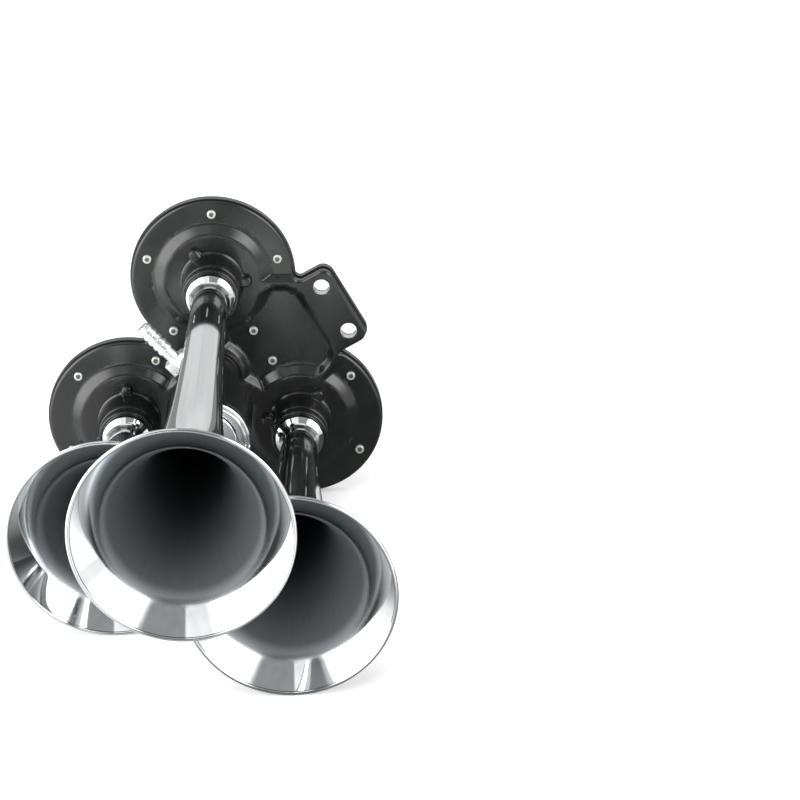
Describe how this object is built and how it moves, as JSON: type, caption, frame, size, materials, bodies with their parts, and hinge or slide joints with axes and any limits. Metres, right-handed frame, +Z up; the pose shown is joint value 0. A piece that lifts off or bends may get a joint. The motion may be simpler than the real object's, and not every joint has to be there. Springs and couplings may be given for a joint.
{
  "type": "car air horn",
  "caption": "Cluster of chromed air horn trumpets of different lengths on a black pressed manifold with a bolt-on bracket, a central air inlet and a hose barb.",
  "frame": {"origin": "midway between the two bracket holes, in the plane of the flange face", "axes": "trumpets point along -Y, +Z is up, +X is right as seen from the bells"},
  "size_m": [0.216, 0.3845, 0.2026],
  "materials": {
    "black_enamel": "satin black enamel on pressed steel",
    "black_casting": "semi-gloss black paint on castings",
    "chrome_plate": "bright chrome plating, dull grey down the bells",
    "zinc": "zinc plating, slightly yellow on the screws",
    "seal_rubber": "plain black rubber",
    "spring_steel": "bare spring steel sheet"
  },
  "bodies": {
    "root": {"front_plate": "black_enamel", "back_cover": "black_enamel", "cover_gasket": "seal_rubber", "bracket_sleeves": "zinc", "cover_screws": "zinc", "cover_nuts": "zinc", "diaphragm_top": "spring_steel", "diaphragm_left": "spring_steel", "diaphragm_right": "spring_steel", "hub_top": "black_casting", "hub_left": "black_casting", "hub_right": "black_casting", "seal_top": "seal_rubber", "seal_left": "seal_rubber", "seal_right": "seal_rubber", "trumpet_long": "chrome_plate", "trumpet_short": "chrome_plate", "trumpet_middle": "chrome_plate", "lock_ring_top": "black_casting", "lock_ring_left": "black_casting", "lock_ring_right": "black_casting", "inlet_body": "black_casting", "inlet_gasket": "seal_rubber", "inlet_nut": "zinc", "chamber_cap": "chrome_plate", "cap_seal": "seal_rubber", "barb_washer": "seal_rubber", "hose_barb": "zinc"}
  },
  "joints": []
}
